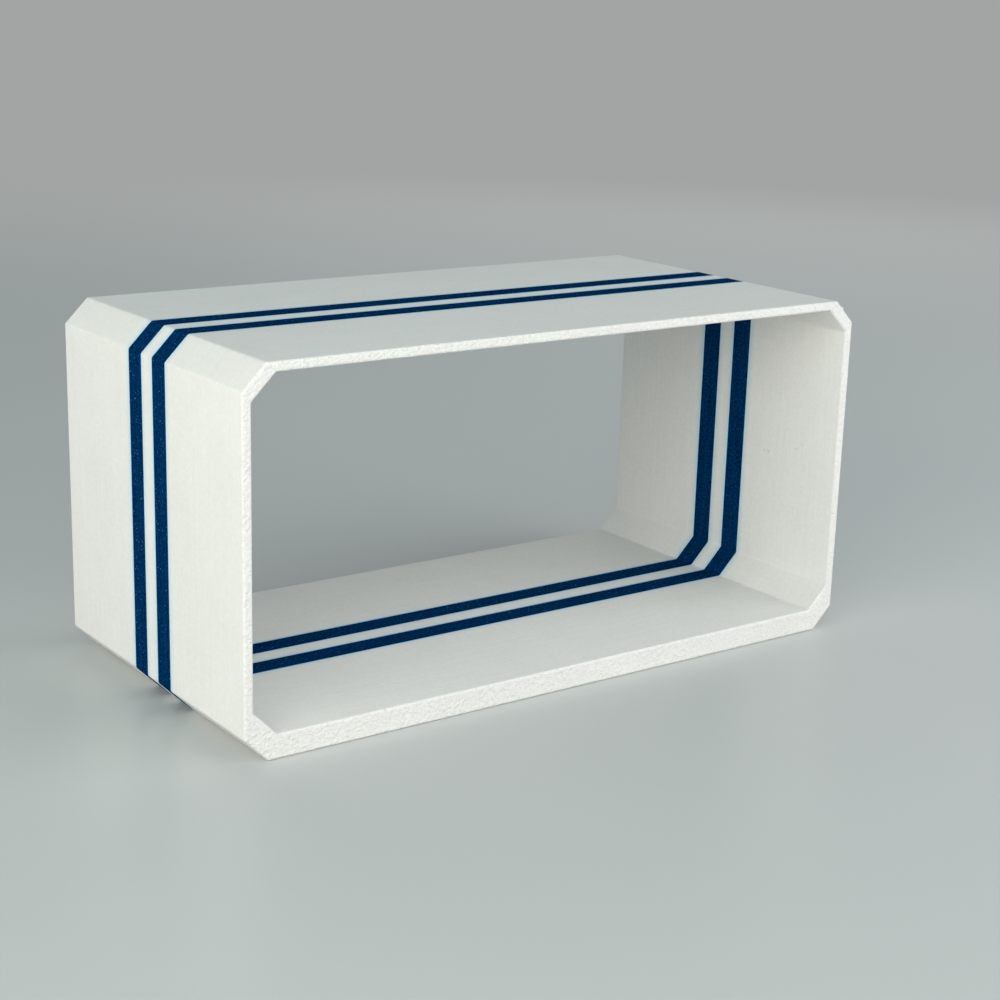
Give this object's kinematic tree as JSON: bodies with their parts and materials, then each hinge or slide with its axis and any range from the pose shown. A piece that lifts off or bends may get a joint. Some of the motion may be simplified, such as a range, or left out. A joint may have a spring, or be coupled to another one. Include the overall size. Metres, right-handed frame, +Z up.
{
  "type": "model car display frame",
  "caption": "Open rectangular display frame with chamfered corners and dark blue stripes round a white tube; a scale model car stands on its floor.",
  "frame": {"origin": "middle of the footprint, on the surface that the frame stands on", "axes": "+X along the width, -Y towards the viewer through the open front, +Z up"},
  "size_m": [0.15, 0.075, 0.075],
  "materials": {
    "white_print": "matte white filament with fine layer lines that run round the frame, and a faint grain on the front face",
    "blue_print": "dark blue filament with fine pale glitter, satin, with the same layer lines"
  },
  "bodies": {
    "root": {"front_section": "white_print", "front_stripe": "blue_print", "centre_band": "white_print", "rear_stripe": "blue_print", "rear_section": "white_print"}
  },
  "joints": []
}
